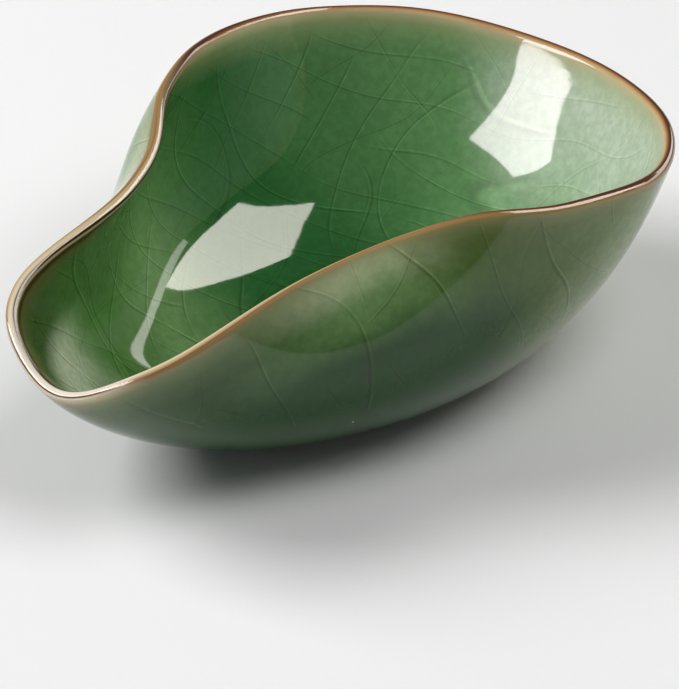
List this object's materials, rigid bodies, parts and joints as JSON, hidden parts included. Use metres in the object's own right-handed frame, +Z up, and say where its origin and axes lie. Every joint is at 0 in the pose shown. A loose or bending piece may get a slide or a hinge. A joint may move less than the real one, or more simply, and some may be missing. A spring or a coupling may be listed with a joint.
{
  "type": "tea scoop",
  "caption": "Open pear-shaped ceramic tea scoop, pinched at the neck into a pouring spout, with green celadon glaze, a brown lip and a low oval foot ring.",
  "frame": {"origin": "on the table, under the middle of the scoop's length, on its mirror plane", "axes": "+X from the spout's tip to the back of the bowl, +Y across the bowl, +Z up"},
  "size_m": [0.1203, 0.079, 0.0432],
  "materials": {
    "stoneware": "fired stoneware, covered by glaze",
    "celadon": "glossy green celadon glaze with a fine crackle",
    "iron_lip": "glossy thin glaze over iron-brown clay",
    "bare_foot": "bare matt fired clay"
  },
  "bodies": {
    "root": {"clay_body": "stoneware", "outer_glaze": "celadon", "inner_glaze": "celadon", "rim_band": "iron_lip", "foot_ring": "bare_foot", "base_glaze": "celadon"}
  },
  "joints": []
}
